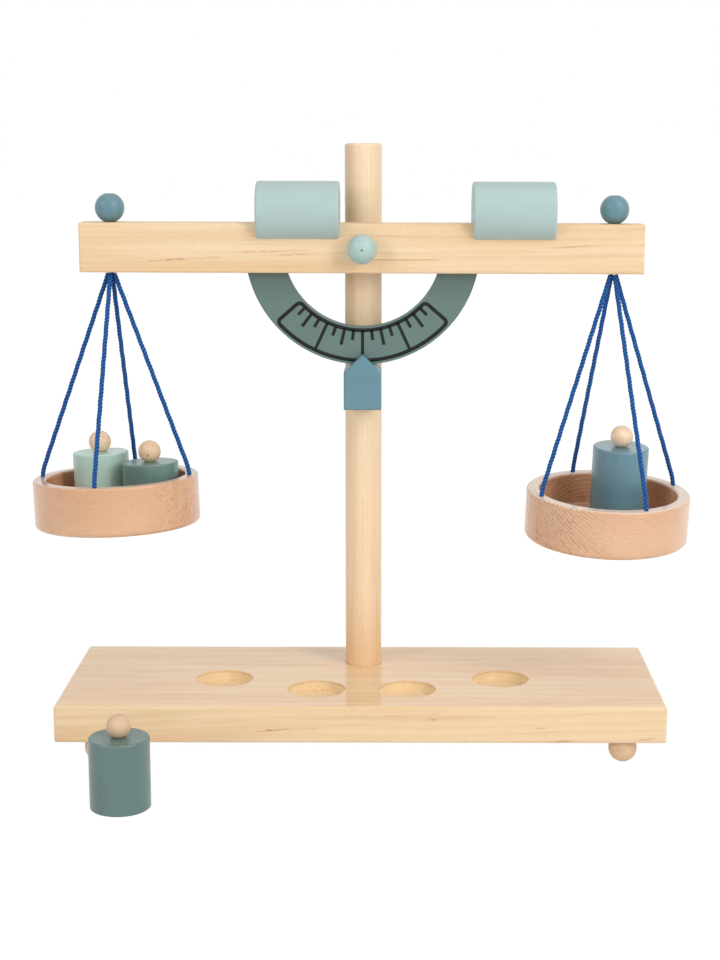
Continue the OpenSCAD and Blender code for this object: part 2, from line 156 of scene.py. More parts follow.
class Val:
    """A number socket, with arithmetic that adds Math nodes to its tree."""

    def __init__(self, tree: Tree, socket: bpy.types.NodeSocket) -> None:
        """Wraps an output socket of a tree."""
        self.tree, self.socket = tree, socket

    def math(self, operation: str, *others: object) -> "Val":
        """Adds a Math node that starts with this number.

        Args:
            operation: The node's operation.
            others: The numbers or sockets after this one.

        Returns:
            The node's result.
        """
        return self.tree.val("ShaderNodeMath", dict(enumerate((self, *others))), operation=operation)

    def _reflected(self, operation: str, other: object) -> "Val":
        """Adds a Math node that ends with this number."""
        return self.tree.val("ShaderNodeMath", {0: other, 1: self}, operation=operation)

    def __add__(self, other: object) -> "Val":
        """Adds."""
        return self.math("ADD", other)

    def __radd__(self, other: object) -> "Val":
        """Adds, with the socket on the right."""
        return self._reflected("ADD", other)

    def __sub__(self, other: object) -> "Val":
        """Takes away."""
        return self.math("SUBTRACT", other)

    def __rsub__(self, other: object) -> "Val":
        """Takes the socket away from a number."""
        return self._reflected("SUBTRACT", other)

    def __mul__(self, other: object) -> "Val":
        """Multiplies."""
        return self.math("MULTIPLY", other)

    def __rmul__(self, other: object) -> "Val":
        """Multiplies, with the socket on the right."""
        return self._reflected("MULTIPLY", other)

    def __truediv__(self, other: object) -> "Val":
        """Divides."""
        return self.math("DIVIDE", other)

    def __rtruediv__(self, other: object) -> "Val":
        """Divides a number by the socket."""
        return self._reflected("DIVIDE", other)

    def __mod__(self, other: object) -> "Val":
        """Gives the rest of a division."""
        return self.math("FLOORED_MODULO", other)

    def __gt__(self, other: object) -> "Val":
        """Gives 1 where the socket is above the other, and 0 elsewhere."""
        return self.math("GREATER_THAN", other)

    def smooth(self, low: Number, high: Number, start: Number = 0.0, end: Number = 1.0) -> "Val":
        """Goes smoothly from start to end as the number goes from low to high."""
        return self.tree.val("ShaderNodeMapRange", {0: self, 1: low, 2: high, 3: start, 4: end},
                             interpolation_type="SMOOTHSTEP")

    def hump(self, up_from: Number, up_to: Number, down_from: Number, down_to: Number) -> "Val":
        """Goes smoothly from 0 up to 1, and down to 0 again."""
        return self.smooth(up_from, up_to) - self.smooth(down_from, down_to)

    def span(self, low: Number, high: Number, start: Number = 0.0, end: Number = 1.0) -> "Val":
        """Goes evenly from start to end as the number goes from low to high."""
        return self.tree.val("ShaderNodeMapRange", {0: self, 1: low, 2: high, 3: start, 4: end})

    def around(self, reach: float) -> "Val":
        """Goes evenly from 1 - reach to 1 + reach over the middle half of a noise."""
        return self.span(0.25, 0.75, 1 - reach, 1 + reach)


class Surface(Tree):
    """A material's tree, with the patterns that its finishes share."""

    def __init__(self, name: str) -> None:
        """Starts an empty material with one Principled shader."""
        self.material = bpy.data.materials.new(name)
        self.material.use_nodes = True
        super().__init__(self.material.node_tree)
        self.tree.nodes.clear()
        self.shader = self.node("ShaderNodeBsdfPrincipled")
        self.node("ShaderNodeOutputMaterial", {"Surface": self.shader.outputs[0]})
        self.place = self.val("ShaderNodeTexCoord", out="Object")

    def mapped(self, scale: Point, location: Point = (0, 0, 0), turn: Point = (0, 0, 0),
               of: Val | None = None) -> Val:
        """Moves, turns and scales the place that a pattern reads.

        Args:
            scale: Cycles of the pattern in a metre along each axis.
            location: A shift after the scale, in cycles.
            turn: Angles in degrees.
            of: The place to start from, or the object's own.

        Returns:
            The new place.
        """
        spun = tuple(math.radians(a) for a in turn)
        return self.val("ShaderNodeMapping", {
            "Vector": of or self.place, "Location": location, "Rotation": spun, "Scale": scale})

    def noise(self, scale: Point, location: Point = (0, 0, 0), of: Val | None = None, detail: float = 2.0,
              rough: float = 0.5) -> Val:
        """Reads a soft noise around 0.5.

        Args:
            scale: Cycles of the noise in a metre along each axis.
            location: A shift after the scale, in cycles.
            of: The place to start from, or the object's own.
            detail: How many finer layers it has.
            rough: How strong each finer layer is.

        Returns:
            The noise at each place.
        """
        at = self.mapped(scale, location, of=of)
        return self.val("ShaderNodeTexNoise", {
            "Vector": at, "Scale": 1.0, "Detail": detail, "Roughness": rough})

    def length(self, vector: Val) -> Val:
        """Measures a vector."""
        return self.val("ShaderNodeVectorMath", {0: vector}, out="Value", operation="LENGTH")

    def less(self, vector: Val, other: Point) -> Val:
        """Takes a fixed vector away from one."""
        return self.val("ShaderNodeVectorMath", {0: vector, 1: other}, operation="SUBTRACT")

    def blend(self, share: object, first: object, second: object, kind: str = "MIX") -> Val:
        """Mixes two colours.

        Args:
            share: How much of the second colour shows.
            first: The colour at 0.
            second: The colour at 1.
            kind: The way of mixing.

        Returns:
            The mixed colour.
        """
        mixer = self.node("ShaderNodeMix", data_type="RGBA", blend_type=kind)
        for place, value in ((0, share), (6, first), (7, second)):
            self.feed(mixer.inputs[place], value)
        return Val(self, mixer.outputs[2])

    def tone(self, colour: object, amount: Val) -> Val:
        """Makes a colour lighter or darker by a number around 1."""
        grey = self.vector(amount, amount, amount)
        return self.blend(1.0, colour, grey, "MULTIPLY")

    def emboss(self, height: Val, depth: float, strength: float = 1.0) -> None:
        """Turns a height from 0 to 1 into fine relief of that depth in metres."""
        bump = self.node("ShaderNodeBump", {"Height": height, "Distance": depth, "Strength": strength})
        self.feed(self.shader.inputs["Normal"], bump.outputs[0])

    def set(self, **values: object) -> None:
        """Sets the shader's sockets, with spaces in their names written as underscores."""
        for name, value in values.items():
            self.feed(self.shader.inputs[name.replace("_", " ")], value)


def across(grain: Grain, along: float, over: float) -> Point:
    """Gives a pattern's scale along the grain and across it, in cycles in a metre."""
    return tuple(along if i == grain.value else over for i in range(3))


# Finishes

@dataclass(frozen=True)
class Streak:
    """A short brown resin streak in a front: its middle, half its length, its slope and its share."""

    x: float
    z: float
    reach: float
    slope: float
    share: float


@dataclass(frozen=True)
class Seam:
    """The dark line where a rod stands in a face: the rod's middle and radius, and the line's width."""

    x: float
    y: float
    radius: float
    width: float


@dataclass(frozen=True)
class PineFinish:
    """Clear-lacquered soft wood: faint growth rings, soft warm bands and thin tapered resin streaks.

    The rings are shells round the tree's middle, so faces, edges and end grain agree.
    """

    name: str
    grain: Grain
    pith: Point
    rise: Point = (0, 0, 0)
    pale: str = "#f2d6b0"
    warm: str = "#e9bf8c"
    deep: str = "#dba873"
    streak: str = "#b9743f"
    ring: float = 2.6 * MM
    wander: float = 4.0 * MM
    ripple: float = 0.6 * MM
    bands: float = 0.6
    rings: float = 0.16
    streaks: float = 0.55
    band_width: float = 12 * MM
    gloss: float = 0.3
    coat_roughness: float = 0.2
    flecks: float = 0.0
    seam: Seam | None = None
    low_warm: float = 0.0
    low_from: float = 34.0 * MM
    low_to: float = 80.0 * MM
    marks: tuple[Streak, ...] = ()
    mark_height: float = 0.75 * MM
    pockets: tuple[tuple[float, float], ...] = ()
    pocket_radius: float = 15.6 * MM
    pocket_top: float = 32.4 * MM
    face: float = 0.0
    # the tone of the top face: above 1 makes it lighter, as painted light from above
    top_light_tone: float = 1.0
    cut: str = "#f9e2b8"
    # the colour of the cutter's arcs, and of the painted shade on the rests' walls
    cut_mark_and_shade: str = "#c08f55"
    cutter_step: float = 1.3 * MM
    # how far in from the wall the painted wall shade reaches
    wall_shade_reach: float = 1.2 * MM
    soft_edge: float = 0.3 * MM
    crisp_edge: float = 0.1 * MM
    relief: float = 0.03 * MM

    def marked(self, s: Surface, wood: Val) -> Val:
        """Adds the named streaks, with torn ends."""
        x, _, z = s.parts(s.place)
        torn = s.noise((260, 60, 1900), (2, 2, 5))
        for mark in self.marks:
            far = (x - mark.x) / mark.reach
            off = (z - mark.z - (x - mark.x) * mark.slope) / self.mark_height
            near = 1.0 - (far * far + off * off).smooth(0.1, 1.0)
            wood = s.blend(near * torn.smooth(0.36, 0.6) * mark.share, wood, linear(self.streak))
        return wood

    def pocket(self, s: Surface, wood: Val) -> Val:
        """Gives the round rests their bare cut wood, with the cutter's fine arcs and painted shade on their
        walls, darkest under the lip.
        """
        x, y, z = s.parts(s.place)
        spread: Val | None = None
        for across_x, along_y in self.pockets:
            from_x, from_y = x - across_x, y - along_y
            away = (from_x * from_x + from_y * from_y).math("SQRT")
            spread = away if spread is None else spread.math("MINIMUM", away)
        within = 1.0 - spread.smooth(self.pocket_radius, self.pocket_radius + self.crisp_edge)
        inside = within * (1.0 - z.smooth(self.pocket_top, self.pocket_top + self.soft_edge))
        patchy = s.noise((150, 240, 150), (6, 4, 2))
        speck = s.noise((900, 900, 900), (1, 6, 4))
        arc = (spread / self.cutter_step) % 1.0
        arc = arc.hump(0.55, 0.8, 0.84, 1.0) * patchy.smooth(0.4, 0.6)
        arc = arc * (0.35 + speck.smooth(0.45, 0.65) * 0.45)
        # Painted shade on the rests' walls, darkest just under the lip, with dark specks on the walls too.
        lip_shadow = z.smooth(self.pocket_top - self.cutter_step, self.pocket_top - self.soft_edge)
        wall_shade = spread.smooth(self.pocket_radius - self.wall_shade_reach, self.pocket_radius - self.soft_edge)
        bare = s.blend(0.8, wood, linear(self.cut))
        dots = speck.smooth(0.52, 0.64) * patchy.smooth(0.42, 0.6)
        bare = s.blend(wall_shade * (0.04 + lip_shadow * 0.3 + dots * 0.3), bare, linear(self.cut_mark_and_shade))
        bare = s.blend(arc, bare, linear(self.cut_mark_and_shade))
        return s.blend(inside, wood, bare)

    def ring_turn(self, s: Surface, run: Val) -> Val:
        """Says how far through its ring a place lies, from 0 to 1."""
        drift = s.noise(across(self.grain, 5, 16), of=run)
        small = s.noise(across(self.grain, 24, 130), (3, 5, 7), of=run)
        plane = across(self.grain, 0.0, 1.0)
        flat = s.mapped(plane, tuple(-at * share for at, share in zip(self.pith, plane)), of=run)
        return ((s.length(flat) + drift * self.wander + small * self.ripple) / self.ring) % 1.0

    def material(self) -> bpy.types.Material:
        """Builds the material.

        Returns:
            A material that reads the object's own place.
        """
        s = Surface(self.name)
        run = s.mapped((1, 1, 1), turn=self.rise)
        turn = self.ring_turn(s, run)
        late = turn.hump(0.1, 0.88, 0.9, 1.0)
        line = turn.hump(0.74, 0.9, 0.93, 1.0)
        wide = 1 / self.band_width
        band = s.noise(across(self.grain, 3.2, wide), (4, 1, 6), of=run, detail=3.0, rough=0.55)
        lines = s.noise(across(self.grain, 9, 4.2 * wide), (11, 2, 5), of=run, detail=3.0, rough=0.6)
        fibres = s.noise(across(self.grain, 40, 1700), of=run, detail=3.0, rough=0.6)
        mottle = s.noise((520, 520, 520), (1, 9, 4), detail=3.0, rough=0.6)
        gather = s.noise(across(self.grain, 13, 150), (8, 1, 3), of=run, detail=1.0)
        wood = s.blend(band.smooth(0.36, 0.64) * self.bands, linear(self.pale), linear(self.warm))
        wood = s.blend(lines.smooth(0.5, 0.74) * 0.35 + late * self.rings, wood, linear(self.deep))
        resin = line * gather.smooth(0.6, 0.72) * self.streaks
        wood = s.blend(resin, wood, linear(self.streak))
        if self.flecks:
            fleck = s.noise(across(self.grain, 560, 2000), (5, 2, 7), of=run)
            wood = s.blend(fleck.smooth(0.52, 0.68) * self.flecks, wood, linear(self.streak))
        if self.low_warm:
            low = s.parts(s.place)[2].smooth(self.low_from, self.low_to, self.low_warm, 0.0)
            wood = s.blend(low, wood, linear(self.deep))
        wood = self.marked(s, wood)
        if self.pockets:
            wood = self.pocket(s, wood)
        wood = s.tone(wood, fibres.around(0.025) * mottle.around(0.025))
        # Painted light: the top face is made lighter than the sides, as light from above would make it.
        if self.face:
            height = s.parts(s.place)[2]
            top = height.smooth(self.face - 0.4 * MM, self.face - 0.05 * MM, 1.0, self.top_light_tone)
            wood = s.tone(wood, top)
        if self.seam:
            rod = self.seam
            away = s.length(s.mapped((1, 1, 0), (-rod.x, -rod.y, 0)))
            gap = 1.0 - away.smooth(rod.radius + self.crisp_edge, rod.radius + rod.width)
            wood = s.tone(wood, 1.0 - gap * 0.6)
        s.set(Base_Color=wood, Roughness=fibres.span(0.3, 0.7, 0.44, 0.56), Coat_Weight=self.gloss,
              Coat_Roughness=self.coat_roughness, Specular_IOR_Level=0.35)
        s.emboss(late * 0.25 + fibres * 0.75, self.relief, 0.5)
        return s.material


@dataclass(frozen=True)
class BeechFinish:
    """Turned beech under clear lacquer: sloping layers show as arcs in front and hatching at the ends, with
    painted shade in the hollow and a painted sheen on the rim's top.
    """

    name: str
    middle: Point
    slope: float
    lean: Point
    cut_side: float
    pale: str = "#e3b48d"
    deep: str = "#cb9067"
    line: str = "#95603b"
    fleck: str = "#96603a"
    # the colour of the painted shade inside the pan's hollow
    inside: str = "#d98c52"
    bore: float = 36.5 * MM
    rim: float = -1.0 * MM
    hollow_shade_share: float = 0.6
    cut_from: float = 18 * MM
    cut_to: float = 38 * MM
    # a painted sheen on the rim's top, standing in for the lacquer's reflection
    rim_sheen: str = "#f0dbc9"
    rim_sheen_share: float = 0.2
    ring: float = 1.25 * MM
    wander: float = 6.0 * MM
    ripple: float = 0.5 * MM
    sag: float = 1.2
    cross: float = 0.28
    soft_edge: float = 1.4 * MM
    relief: float = 0.02 * MM

    def material(self) -> bpy.types.Material:
        """Builds the material.

        Returns:
            A material that reads the object's own place about the pan's middle.
        """
        s = Surface(self.name)
        back = tuple(-math.radians(a) for a in self.lean)
        upright = s.val("ShaderNodeVectorRotate", {0: s.less(s.place, self.middle), "Rotation": back},
                        rotation_type="EULER_XYZ")
        x, y, z = s.parts(upright)
        cosine, sine = math.cos(math.radians(self.slope)), math.sin(math.radians(self.slope))
        level = z * cosine - y * sine - x * (self.cross * self.cut_side * cosine)
        ahead = z * sine + y * cosine
        sag = x * x * self.sag
        wobble = s.noise((20, 45, 45), of=upright)
        small = s.noise((110, 260, 260), (2, 7, 1), of=upright)
        turn = ((level + sag + wobble * self.wander + small * self.ripple) / self.ring) % 1.0
        late = turn.hump(0.2, 0.8, 0.82, 1.0)
        thin = turn.hump(0.45, 0.72, 0.8, 0.98)
        cut = (x * self.cut_side).smooth(self.cut_from, self.cut_to)
        grain_place = s.vector(x, ahead, level)
        patches = s.noise((18, 40, 40), (5, 5, 1), of=grain_place)
        broad = s.noise((14, 22, 70), (1, 4, 2), of=grain_place)
        rays = s.noise((800, 1100, 3000), (3, 1, 8), of=grain_place)
        fibres = s.noise((70, 1300, 1300), (6, 2, 2), of=grain_place, detail=3.0)
        dashes = s.noise((60, 260, 900), (7, 3, 3), of=grain_place)
        crossed = s.noise((240, 2300, 300), (9, 4, 1), of=grain_place)
        share = late * patches.smooth(0.34, 0.66, 0.02, 0.26) + broad.smooth(0.35, 0.68) * 0.34
        wood = s.blend(share, linear(self.pale), linear(self.deep))
        wood = s.blend(thin * cut * dashes.smooth(0.42, 0.6, 0.08, 0.6), wood, linear(self.line))
        wood = s.blend(crossed.smooth(0.54, 0.68) * cut.span(0.0, 1.0, 0.06, 0.34), wood, linear(self.line))
        wood = s.blend(rays.smooth(0.56, 0.72) * 0.26, wood, linear(self.fleck))
        wood = s.tone(wood, fibres.around(0.035))
        radius = (x * x + y * y).math("SQRT")
        within = 1.0 - radius.smooth(self.bore + 0.1 * MM, self.bore + self.soft_edge)
        hollow = within * (1.0 - z.smooth(self.rim - self.soft_edge, self.rim + 0.6 * MM))
        waves = (thin * 0.55 + crossed.smooth(0.5, 0.66) * 0.45) * hollow * 0.35
        wood = s.blend(waves, wood, linear(self.line))
        # Painted shade: the hollow is darkened towards the inside colour, as if in shade.
        dark = s.blend(0.6, wood, linear(self.inside), "MULTIPLY")
        wood = s.blend(hollow * self.hollow_shade_share, wood, dark)
        # Painted reflection: the rim's top is lightened as a sheen.
        top = z.smooth(self.rim + 0.5 * MM, self.rim + 0.95 * MM)
        wood = s.blend(top * self.rim_sheen_share, wood, linear(self.rim_sheen))
        s.set(Base_Color=wood, Roughness=fibres.span(0.3, 0.7, 0.38, 0.5), Coat_Weight=0.75,
              Coat_Roughness=0.13, Specular_IOR_Level=0.4)
        s.emboss(late * 0.2 + fibres * 0.6 + rays * 0.2, self.relief, 0.5)
        return s.material


@dataclass(frozen=True)
class BallFinish:
    """Bare pale wood of a small turned ball: nearly plain, with fine pores and a lathe mark."""

    name: str
    middle: Point
    mark: Point
    pale: str = "#edcfae"
    deep: str = "#d8ad84"
    pore: str = "#ab7c55"
    mark_colour: str = "#9c6537"
    mark_share: float = 0.75
    mark_core: float = 0.35 * MM
    mark_reach: float = 0.8 * MM
    turned_by: Point = (14, 22, 0)
    moved_by: Point = (0.011, 0.004, 0.002)
    relief: float = 0.03 * MM

    def material(self) -> bpy.types.Material:
        """Builds the material.

        Returns:
            A material that reads the object's own place about the ball's middle.
        """
        s = Surface(self.name)
        near = s.less(s.place, self.middle)
        along = s.mapped((1, 1, 1), self.moved_by, self.turned_by, of=near)
        soft = s.noise((160, 60, 160), (2, 1, 5), of=along)
        fibres = s.noise((1700, 320, 1700), of=along, detail=3.0, rough=0.6)
        pores = s.noise((2300, 900, 2300), (4, 2, 9), of=along, detail=1.0)
        share = soft.smooth(0.3, 0.75) * 0.45 + fibres.span(0.3, 0.7, -0.08, 0.2)
        wood = s.blend(share, linear(self.pale), linear(self.deep))
        wood = s.blend(pores.smooth(0.64, 0.76) * 0.35, wood, linear(self.pore))
        away = s.val("ShaderNodeVectorMath", {0: near, 1: self.mark}, out="Value", operation="DISTANCE")
        dot = 1.0 - away.smooth(self.mark_core, self.mark_reach)
        wood = s.blend(dot * self.mark_share, wood, linear(self.mark_colour))
        s.set(Base_Color=wood, Roughness=fibres.span(0.3, 0.7, 0.5, 0.64), Specular_IOR_Level=0.3,
              Coat_Weight=0.05, Coat_Roughness=0.3)
        s.emboss(fibres * 0.8 + pores * 0.2 - dot * 2.0, self.relief, 0.5)
        return s.material


@dataclass(frozen=True)
class PaintFinish:
    """Satin water-based paint on wood: fine drag lines, a hint of the grain and paler arrises."""

    name: str
    colour: str
    grain: Grain
    pale: str = "#c6d6d4"
    drag: float = 0.05
    roughness: float = 0.42
    coat: float = 0.1
    reflect: float = 0.5
    edges: tuple[tuple[int, float], ...] = ()
    edge_share: float = 0.25
    edge_core: float = 0.15 * MM
    edge_reach: float = 0.95 * MM
    relief: float = 0.035 * MM

    def material(self) -> bpy.types.Material:
        """Builds the material.

        Returns:
            A material that reads the object's own place.
        """
        s = Surface(self.name)
        lines = s.noise(across(self.grain, 14, 900), detail=3.0, rough=0.55)
        broad = s.noise(across(self.grain, 10, 150), (4, 4, 9))
        pores = s.noise(across(self.grain, 260, 2400), (7, 3, 1))
        cloud = s.noise((130, 130, 130), (2, 8, 5), detail=3.0)
        paint = s.blend(lines.smooth(0.52, 0.74) * self.drag * 2.2, linear(self.colour), linear(self.pale))
        dimmed = 1.0 - pores.smooth(0.7, 0.85) * 0.03
        paint = s.tone(paint, broad.around(self.drag) * cloud.around(0.02) * dimmed)
        axes = s.parts(s.place)
        # Named edges are blended towards the pale colour, in patches.
        pale_edge: Val | None = None
        for axis, where in self.edges:
            band = 1.0 - (axes[axis] - where).math("ABSOLUTE").smooth(self.edge_core, self.edge_reach)
            pale_edge = band if pale_edge is None else pale_edge.math("MAXIMUM", band)
        if pale_edge is not None:
            patchy = s.noise((420, 420, 420), (9, 1, 1))
            paint = s.blend(pale_edge * patchy.smooth(0.3, 0.75) * self.edge_share, paint, linear(self.pale))
        s.set(Base_Color=paint, Roughness=cloud.span(0.3, 0.7, self.roughness - 0.05, self.roughness + 0.06),
              Coat_Weight=self.coat, Coat_Roughness=0.3, Specular_IOR_Level=self.reflect)
        s.emboss(lines * 0.55 + pores * 0.25 + cloud * 0.2, self.relief, 0.55)
        return s.material


@dataclass(frozen=True)
class InkFinish:
    """Screen-printed ink, nearly black, a little uneven where the paint shows through."""

    name: str
    colour: str = "#222324"
    thin: str = "#3b403f"
    relief: float = 0.02 * MM

    def material(self) -> bpy.types.Material:
        """Builds the material."""
        s = Surface(self.name)
        grain = s.noise((1300, 1300, 1300), detail=3.0)
        broad = s.noise((160, 160, 160), (3, 3, 3))
        share = grain.smooth(0.55, 0.8) * 0.5 + broad.smooth(0.5, 0.8) * 0.3
        ink = s.blend(share, linear(self.colour), linear(self.thin))
        s.set(Base_Color=ink, Roughness=grain.span(0.3, 0.7, 0.5, 0.66), Specular_IOR_Level=0.2)
        s.emboss(grain, self.relief, 0.5)
        return s.material


@dataclass(frozen=True)
class CordFinish:
    """Dyed cotton: fibres that follow each ply, with painted shade in the grooves between plies."""

    name: str
    colour: str = "#1f62b0"
    light: str = "#438aca"
    # the colour of the painted shade in the grooves between plies
    groove: str = "#09244f"
    relief: float = 0.06 * MM

    def material(self) -> bpy.types.Material:
        """Builds the material.

        Returns:
            A material that reads the ply attributes that the cord's tree stores.
        """
        s = Surface(self.name)
        around = s.val("ShaderNodeAttribute", out="Vector", attribute_name="ply_place")
        crest = s.val("ShaderNodeAttribute", out="Fac", attribute_name="ply_crest")
        yarn = s.noise((2.6, 2.6, 900), of=around, detail=3.0, rough=0.6)
        fibre = s.noise((7, 7, 330), (5, 1, 2), of=around)
        fuzz = s.noise((2600, 2600, 2600))
        # Painted shade: the dye darkens towards the grooves between plies.
        dye_and_groove_shade = s.blend(crest.smooth(0.0, 0.75), linear(self.groove), linear(self.colour))
        share = fibre.smooth(0.5, 0.8) * 0.55 + fuzz.smooth(0.55, 0.8) * 0.25
        dye_and_groove_shade = s.blend(share, dye_and_groove_shade, linear(self.light))
        dye_and_groove_shade = s.tone(dye_and_groove_shade, yarn.around(0.14))
        s.set(Base_Color=dye_and_groove_shade, Roughness=fuzz.span(0.3, 0.7, 0.72, 0.9), Specular_IOR_Level=0.25,
              Sheen_Weight=0.25, Sheen_Roughness=0.45)
        s.emboss(yarn * 0.5 + fuzz * 0.5, self.relief, 0.8)
        return s.material


@dataclass(frozen=True)
class ShowFloor:
    """White sweep under the toy: white to the camera and in reflections, with a soft shadow."""

    name: str = "white_sweep"
    glow: float = 0.94
    near: float = 0.22
    far: float = 0.5
    matt: tuple[float, float, float, float] = (0.9, 0.9, 0.9, 1)
    bright: float = 1.05

    def material(self) -> bpy.types.Material:
        """Builds the material, which only shows a shadow near the toy."""
        s = Surface(self.name)
        s.tree.nodes.clear()
        away = s.length(s.val("ShaderNodeTexCoord", out="Object"))
        share = s.seen_straight() * away.smooth(self.near, self.far, self.glow, 1.0)
        matt = s.node("ShaderNodeBsdfDiffuse", {"Color": self.matt})
        bright = s.node("ShaderNodeEmission", {"Color": (1, 1, 1, 1), "Strength": self.bright})
        both = s.node("ShaderNodeMixShader", {0: share, 1: matt.outputs[0], 2: bright.outputs[0]})
        s.node("ShaderNodeOutputMaterial", {"Surface": both.outputs[0]})
        return s.material


# Studio and view

@dataclass(frozen=True)
class SoftBox:
    """One square lamp: its place, its side in metres, its power in watts, and whether gloss shows it."""

    name: str
    place: Point
    side: float
    power: float
    mirrored: bool = True


@dataclass
class Studio:
    """Plain soft light, a white sweep and a camera at the photograph's angle."""

    eye: Point = (0.01799, -0.97163, 0.32564)
    pitch: float = -10.685
    yaw: float = 0.441
    roll: float = 0.248
    focal_pixels: float = 1830.9
    axis_column: float = 409.76
    frame: tuple[int, int] = (720, 960)
    sensor: float = 36.0
    clip: tuple[float, float] = (0.05, 20.0)
    aim: Point = (0, 0, 0.16)
    ambient: float = 0.3
    lamps: tuple[SoftBox, ...] = (
        SoftBox("left_box", (-1.3, -1.4, 0.7), 0.6, 7.4, mirrored=False),
        SoftBox("right_box", (1.25, -1.45, 0.75), 0.6, 9.1, mirrored=False),
        SoftBox("left_high_box", (-1.2, -0.95, 1.25), 0.45, 3.7),
        SoftBox("right_high_box", (0.95, -1.0, 1.45), 0.45, 4.3),
        SoftBox("right_side_box", (1.5, -1.0, 1.0), 1.5, 8.0),
        SoftBox("top_box", (0.2, -0.2, 1.8), 1.6, 5.0),
    )
    floor: tuple[Point, ...] = ((-6, -4, 0), (6, -4, 0), (6, 8, 0), (-6, 8, 0))

    def camera(self) -> None:
        """Sets up the camera, from the fit of the model's own corners to the photograph."""
        lens = bpy.data.cameras.new("view")
        width, height = self.frame
        lens.sensor_width = self.sensor
        lens.lens = self.focal_pixels / height * lens.sensor_width
        lens.shift_x = (width / 2 - self.axis_column) / height
        lens.clip_start, lens.clip_end = self.clip
        eye = bpy.data.objects.new("view", lens)
        turn = Matrix.Identity(3)
        for angle, axis in ((-self.yaw, "Z"), (90 + self.pitch, "X"), (self.roll, "Z")):
            turn = turn @ Matrix.Rotation(math.radians(angle), 3, axis)
        eye.location, eye.rotation_euler = self.eye, turn.to_euler()
        bpy.context.scene.collection.objects.link(eye)
        bpy.context.scene.camera = eye

    def light(self) -> None:
        """Adds the soft boxes and the even light from all round."""
        for box in self.lamps:
            lamp = bpy.data.lights.new(box.name, "AREA")
            lamp.shape, lamp.size, lamp.energy = "SQUARE", box.side, box.power
            holder = bpy.data.objects.new(box.name, lamp)
            holder.location = box.place
            holder.visible_glossy = box.mirrored
            toward = Vector(self.aim) - Vector(box.place)
            holder.rotation_euler = toward.to_track_quat("-Z", "Y").to_euler()
            bpy.context.scene.collection.objects.link(holder)
        world = bpy.data.worlds.new("even_light")
        world.use_nodes = True
        sky = Tree(world.node_tree)
        sky.tree.nodes.clear()
        strength = sky.seen_straight() * (1 - self.ambient) + self.ambient
        glow = sky.node("ShaderNodeBackground", {"Color": (1, 1, 1, 1), "Strength": strength})
        sky.node("ShaderNodeOutputWorld", {"Surface": glow.outputs[0]})
        bpy.context.scene.world = world

    def sweep(self) -> None:
        """Lays the white floor."""
        mesh = bpy.data.meshes.new("floor")
        mesh.from_pydata(self.floor, [], [(0, 1, 2, 3)])
        floor = bpy.data.objects.new("floor", mesh)
        bpy.context.scene.collection.objects.link(floor)
        mesh.materials.append(ShowFloor().material())

    def set_up(self) -> None:
        """Puts the lights and the floor in place, and sets the plain view transform."""
        self.light()
        self.sweep()
        bpy.context.scene.view_settings.view_transform = "Standard"


# Cords

class TreeSocket(Enum):
    """Kinds of named input that a geometry tree takes."""

    LENGTH = "NodeSocketFloat"
    COUNT = "NodeSocketInt"
    FINISH = "NodeSocketMaterial"


class ShapeTree(Tree):
    """A geometry tree with named inputs, made once and used by several pieces."""

    def __init__(self, name: str, inputs: dict[str, TreeSocket]) -> None:
        """Starts the tree with a geometry input, the named inputs and a geometry output."""
        group = bpy.data.node_groups.new(name, "GeometryNodeTree")
        super().__init__(group)
        group.interface.new_socket("Geometry", in_out="OUTPUT", socket_type="NodeSocketGeometry")
        group.interface.new_socket("Geometry", in_out="INPUT", socket_type="NodeSocketGeometry")
        self.keys: dict[str, str] = {}
        for label, kind in inputs.items():
            socket = group.interface.new_socket(label, in_out="INPUT", socket_type=kind.value)
            self.keys[label] = socket.identifier
        self.source = self.node("NodeGroupInput")
        self.sink = self.node("NodeGroupOutput")

    def given(self, label: str) -> Val:
        """Gives one of the tree's inputs as a number."""
        return Val(self, self.source.outputs[label])

    def keep(self, geometry: object, label: str, value: object, kind: str = "FLOAT") -> Val:
        """Stores a named attribute on the points, which the material reads."""
        values = {"Geometry": geometry, "Name": label, "Value": value}
        return self.val("GeometryNodeStoreNamedAttribute", values, data_type=kind, domain="POINT")

    def end(self, geometry: object) -> None:
        """Realizes what was instanced, sets the finish and closes the tree."""
        real = self.node("GeometryNodeRealizeInstances", {0: geometry})
        dressed = self.node("GeometryNodeSetMaterial", {
            "Geometry": real.outputs[0], "Material": self.source.outputs["Finish"]})
        self.feed(self.sink.inputs[0], dressed.outputs[0])

    def make(self, name: str, base: bpy.types.Object, values: dict[str, object]) -> bpy.types.Object:
        """Runs the tree on a base object and keeps the result as a plain mesh.

        Args:
            name: The new piece's name.
            base: The curve or empty mesh that the tree works on, which is then removed.
            values: What each named input is.

        Returns:
            The new piece, at the origin.
        """
        modifier = base.modifiers.new("shape", "NODES")
        modifier.node_group = self.tree
        for label, value in values.items():
            modifier[self.keys[label]] = value
        depsgraph = bpy.context.evaluated_depsgraph_get()
        mesh = bpy.data.meshes.new_from_object(base.evaluated_get(depsgraph))
        mesh.name = name
        data = base.data
        bpy.data.objects.remove(base)
        (bpy.data.curves if isinstance(data, bpy.types.Curve) else bpy.data.meshes).remove(data)
        piece = bpy.data.objects.new(name, mesh)
        bpy.context.scene.collection.objects.link(piece)
        return piece


